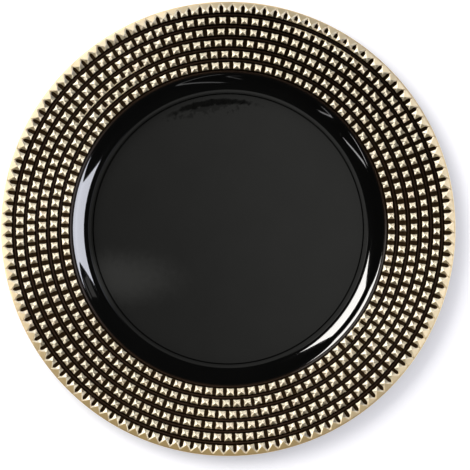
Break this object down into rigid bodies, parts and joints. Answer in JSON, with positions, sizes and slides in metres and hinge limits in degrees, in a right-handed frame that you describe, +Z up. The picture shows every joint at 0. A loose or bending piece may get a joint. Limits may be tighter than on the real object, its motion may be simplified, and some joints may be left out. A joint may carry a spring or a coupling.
{
  "type": "charger plate",
  "caption": "Round charger plate: gloss black dish with a flat well, and a wide rim covered in rows of gold pyramid studs that end in a gold lip.",
  "frame": {"origin": "middle of the plane that the foot ring stands on", "axes": "+Z up through the middle of the well, +X and +Y towards the rim"},
  "size_m": [0.33, 0.33, 0.019],
  "materials": {
    "black_plastic": "gloss black moulding",
    "gold_foil": "bright gold hot-stamping foil over moulded plastic"
  },
  "bodies": {
    "root": {"plate_body": "black_plastic", "stud_row_1": "gold_foil", "stud_row_2": "gold_foil", "stud_row_3": "gold_foil", "stud_row_4": "gold_foil", "stud_row_5": "gold_foil", "lip_ring": "gold_foil"}
  },
  "joints": []
}
